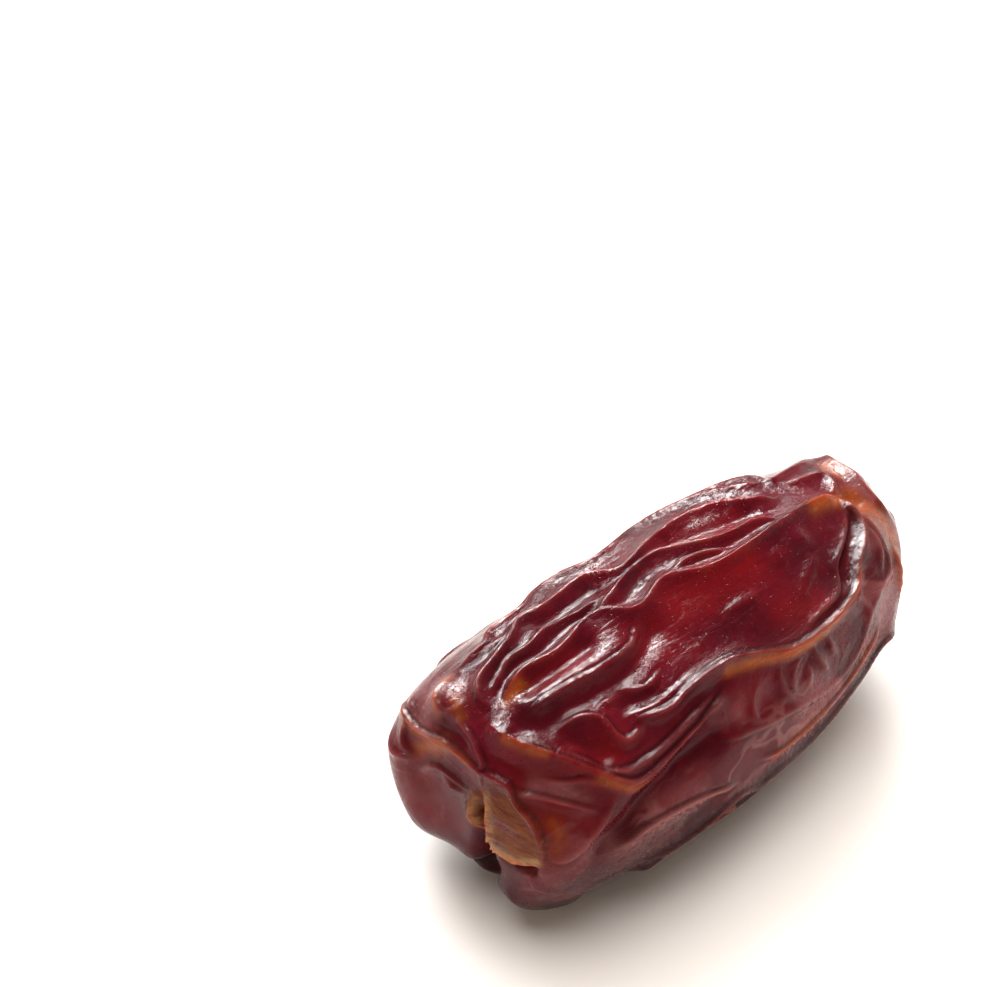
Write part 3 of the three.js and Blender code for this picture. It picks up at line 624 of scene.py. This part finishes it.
# Where a pattern begins to show, where it shows fully, and how strong it is at these two (0 and 1).
MAROON_CLOUD = (0.35, 0.62)
RED_MOTTLE = (0.5, 0.75, 0, 0.25)
LOOSE_AND_REFLECTED_PATCH = (0.43, 0.55, 0.1, 1)
NET_LINE = (0, 0.09, 0.45, 0)
NET_PLACES = (0.4, 0.6)
SHADE_BY_HEIGHT = (8 * MM, 3 * MM, 0, 0.9)  # painted shade, darker by height over the floor
RUST_MOTTLE = (0.3, 0.6, 0.55, 1)
EDGE_MOTTLE = (0.35, 0.65, 0, 0.3)
TAN_FIBRE = (0.35, 0.65)
CREAM_FIBRE = (0.3, 0.6, 0.3, 1)
WET_ROUGHNESS = (0.4, 0.62, 0.1, 0.2)
PIT_EDGE = (0.06, 0.22)
THIN_LINE = (0, 0.06)

# How strong the painted lines are in the colour, and what they add to the roughness.
RED_SHARE = 0.75
CREST_FILM_AND_REFLECTION_SHARE = 0.7
FLOOR_SHADE_SHARE = 0.9
CREASE_SHADE_SHARE = 0.85
LOOSE_ROUGHER = 0.16
DRY_ROUGHER = 0.35

# Height of each pattern in the bump, in mm.
WRINKLE_HEIGHT = 0.2
GRAIN_HEIGHT = 0.038
PIT_DEPTH = 0.05
THIN_LINE_DEPTH = 0.015
CRUMPLE_HEIGHT = 0.16
FIBRE_HEIGHT = 0.18

# The clear skin over flesh that light goes into.
SKIN_IOR = 1.18
FLESH_SHARE = 0.8
FLESH_RADIUS = (1.0, 0.16, 0.08)
FLESH_DEPTH = 1.6  # in mm


def net_lines(n, place, drawn_out):
    """Fine lines between bent cells."""
    inputs = {"Vector": place, "Scale": NET_WARP, "Detail": NET_WARP_DETAIL}
    warp = n.add("ShaderNodeTexNoise", inputs).outputs["Color"]
    bent = n.add("ShaderNodeMix", {0: NET_BEND, 4: drawn_out, 5: warp}, data_type="VECTOR").outputs[1]
    return n.ramp(n.cells(bent, NET_CELLS, "DISTANCE_TO_EDGE"), *NET_LINE)


def skin_colour(n, place, drawn_out, patchy_loose_and_reflected, fibre):
    """The flesh seen through the skin, and each further colour over what comes before it."""
    cloud, mottle = n.noise(place, *CLOUD), n.noise(place, *MOTTLE)
    loose_and_reflected, crest_line = n.attribute("loose_and_reflected"), n.attribute("crest")
    colour = n.mix(n.ramp(cloud, *MAROON_CLOUD), DARK, MAROON)
    red = n.math("ADD", n.times(n.attribute("red"), RED_SHARE), n.ramp(mottle, *RED_MOTTLE))
    colour = n.mix(red, colour, BRIGHT_RED)
    # Loose skin turns mauve; this paint also stands in for a reflection of the white floor.
    colour = n.mix(patchy_loose_and_reflected, colour, MAUVE_LOOSE_AND_REFLECTED)
    # Paler film lines and crests on the loose skin, partly a painted reflection.
    net = n.times(net_lines(n, place, drawn_out), n.ramp(cloud, *NET_PLACES))
    film_and_reflection = n.math("MAXIMUM", net, n.times(crest_line, CREST_FILM_AND_REFLECTION_SHARE))
    colour = n.mix(n.times(loose_and_reflected, film_and_reflection), colour, PALE_FILM_AND_REFLECTION)
    # Painted shade: darker close to the floor and along the strip next to it.
    above_floor = n.add("ShaderNodeSeparateXYZ", {0: place}).outputs["Z"]
    low = n.times(n.attribute("low"), FLOOR_SHADE_SHARE)
    colour = n.mix(n.math("MAXIMUM", n.ramp(above_floor, *SHADE_BY_HEIGHT), low), colour, PAINTED_FLOOR_SHADE)
    colour = n.mix(n.times(n.attribute("orange"), n.ramp(mottle, *RUST_MOTTLE)), colour, RUST)
    colour = n.mix(n.times(crest_line, n.ramp(mottle, *EDGE_MOTTLE)), colour, EDGE)
    # Painted shade in the fine creases beside the crests.
    colour = n.mix(n.times(n.attribute("crease"), CREASE_SHADE_SHARE), colour, PAINTED_CREASE_SHADE)
    colour = n.mix(n.attribute("dry"), colour, n.mix(n.ramp(fibre, *TAN_FIBRE), BROWN, TAN))
    return n.mix(n.times(n.attribute("pale"), n.ramp(fibre, *CREAM_FIBRE)), colour, CREAM)


def skin_roughness(n, place, patchy_loose_and_reflected):
    """Wet gloss, duller where the skin is loose and dullest on the dry scar."""
    wet = n.ramp(n.noise(place, *WET_SPOTS), *WET_ROUGHNESS)
    duller = n.math("ADD", wet, n.times(patchy_loose_and_reflected, LOOSE_ROUGHER))
    return n.math("ADD", duller, n.times(n.attribute("dry"), DRY_ROUGHER))


def skin_bump(n, place, drawn_out, fibre):
    """What is finer than the mesh, each pattern with its height."""
    from_line = n.math("SUBTRACT", n.noise(drawn_out, *THIN_LINES), NOISE_MIDDLE)
    layers = (
        (n.noise(drawn_out, *WRINKLES), WRINKLE_HEIGHT),
        (n.noise(place, *GRAIN), GRAIN_HEIGHT),
        (n.ramp(n.cells(place, PORES, "F1"), *PIT_EDGE), PIT_DEPTH),
        (n.ramp(n.math("ABSOLUTE", from_line), *THIN_LINE), THIN_LINE_DEPTH),
        (n.times(n.noise(place, *CRUMPLES), n.attribute("loose_and_reflected")), CRUMPLE_HEIGHT),
        (n.times(fibre, n.attribute("dry")), FIBRE_HEIGHT),
    )
    relief = 0.0
    for pattern, height in layers:
        relief = n.math("ADD", relief, n.times(pattern, height))
    return n.add("ShaderNodeBump", {"Height": relief, "Strength": 1.0, "Distance": MM}).outputs[0]


def skin_material():
    """The whole fruit's material: the glossy skin and the dry scar, which the mesh tells apart."""
    material, n, shader = new_material("date_skin")
    place = n.add("ShaderNodeTexCoord").outputs["Object"]
    drawn_out = n.stretched(place, DRAWN_OUT)
    patch = n.noise(n.stretched(place, DRAWN_OUT_PATCHES), *PATCHES)
    # Loose skin in patches: duller, and paler by a painted reflection of the white floor.
    patchy_loose_and_reflected = n.times(n.attribute("loose_and_reflected"), n.ramp(patch, *LOOSE_AND_REFLECTED_PATCH))
    fibre = n.noise(n.stretched(place, DRAWN_OUT_FIBRE), *FIBRE)
    n.put(shader["Base Color"], skin_colour(n, place, drawn_out, patchy_loose_and_reflected, fibre))
    n.put(shader["Roughness"], skin_roughness(n, place, patchy_loose_and_reflected))
    n.put(shader["Normal"], skin_bump(n, place, drawn_out, fibre))
    shader["IOR"].default_value = SKIN_IOR
    shader["Subsurface Weight"].default_value = FLESH_SHARE
    shader["Subsurface Radius"].default_value = FLESH_RADIUS
    shader["Subsurface Scale"].default_value = FLESH_DEPTH * MM
    return material


date.data.materials.append(skin_material())

# Floor.
FLOOR_SIZE = 3.0  # in m
FLOOR_COLOUR = (0.9, 0.89, 0.875, 1)
FLOOR_ROUGHNESS = 0.6
bpy.ops.mesh.primitive_plane_add(size=FLOOR_SIZE)
floor = bpy.context.object
floor.name = "floor"
ground, _, ground_shader = new_material("floor")
ground_shader["Base Color"].default_value = FLOOR_COLOUR
ground_shader["Roughness"].default_value = FLOOR_ROUGHNESS
ground_shader["Specular IOR Level"].default_value = 0.0
floor.data.materials.append(ground)

# Camera: over the stem end, the fruit low and right in the picture. Lengths in mm.
AZIMUTH, ELEVATION = -45, 40
LENS = 100
DISTANCE = 217
AIM_HEIGHT = 10.55
FRUIT_RIGHT, FRUIT_UP = 13.6, -12.3  # where the fruit's middle lies in the picture
CLIP_START = 10
azimuth, elevation = np.radians(AZIMUTH), np.radians(ELEVATION)
back = np.array([
    np.sin(azimuth) * np.cos(elevation),
    -np.cos(azimuth) * np.cos(elevation),
    np.sin(elevation),
])
right = np.array([np.cos(azimuth), np.sin(azimuth), 0])
upward = np.cross(back, right)
eye = shift + (0, 0, AIM_HEIGHT) + back * DISTANCE - right * FRUIT_RIGHT - upward * FRUIT_UP
lens = bpy.data.cameras.new("camera")
lens.lens = LENS
lens.clip_start = CLIP_START * MM
camera = bpy.data.objects.new("camera", lens)
turned = Matrix(np.stack([right, upward, back], 1).tolist()).to_4x4()
camera.matrix_world = Matrix.Translation(Vector(eye * MM)) @ turned
bpy.context.scene.collection.objects.link(camera)
bpy.context.scene.camera = camera


def soft_light(name, spot, size, power, colour, lights=True, mirrored=True):
    """A rectangular light facing the fruit. It lights surfaces, is mirrored in them, or both."""
    data = bpy.data.lights.new(name, "AREA")
    data.shape = "RECTANGLE"
    data.size, data.size_y = size
    data.energy = power
    data.color = colour
    light = bpy.data.objects.new(name, data)
    light.location = spot
    light.visible_diffuse = lights
    light.visible_glossy = mirrored
    towards_light = Vector(spot) - Vector((0, 0, MIDDLE_HEIGHT * MM))
    light.rotation_mode = "QUATERNION"
    light.rotation_quaternion = towards_light.to_track_quat("Z", "Y")
    bpy.context.scene.collection.objects.link(light)


# Lights: spots and sizes in m, powers in W. The window's shine is a light of its own.
WINDOW, WINDOW_SIZE, WINDOW_COLOUR = (0.5, 0.92, 1.0), (1.1, 0.9), (1, 0.99, 0.98)
CEILING, CEILING_SIZE, CEILING_COLOUR = (0.1, 0.1, 1.8), (1.9, 1.9), (1, 0.96, 0.92)
WINDOW_POWER, SHINE_POWER, CEILING_POWER = 34, 900, 42
soft_light("window", WINDOW, WINDOW_SIZE, WINDOW_POWER, WINDOW_COLOUR, mirrored=False)
soft_light("window shine", WINDOW, WINDOW_SIZE, SHINE_POWER, WINDOW_COLOUR, lights=False)
soft_light("ceiling", CEILING, CEILING_SIZE, CEILING_POWER, CEILING_COLOUR, mirrored=False)

# The room: brighter low down all round than over the fruit.
ROOM_COLOUR = (1, 0.8, 0.66, 1)
ROOM_STRENGTH = (0, 0.5, 0.6, 0.35)  # upward part of the direction from and to, strength at both
world = bpy.data.worlds.new("room")
world.use_nodes = True
room = Nodes(world.node_tree)
direction = room.add("ShaderNodeTexCoord").outputs["Generated"]
rise = room.add("ShaderNodeSeparateXYZ", {0: direction}).outputs["Z"]
sky = world.node_tree.nodes["Background"].inputs
sky["Color"].default_value = ROOM_COLOUR
room.put(sky["Strength"], room.ramp(rise, *ROOM_STRENGTH))
bpy.context.scene.world = world
bpy.context.scene.view_settings.view_transform = "Standard"
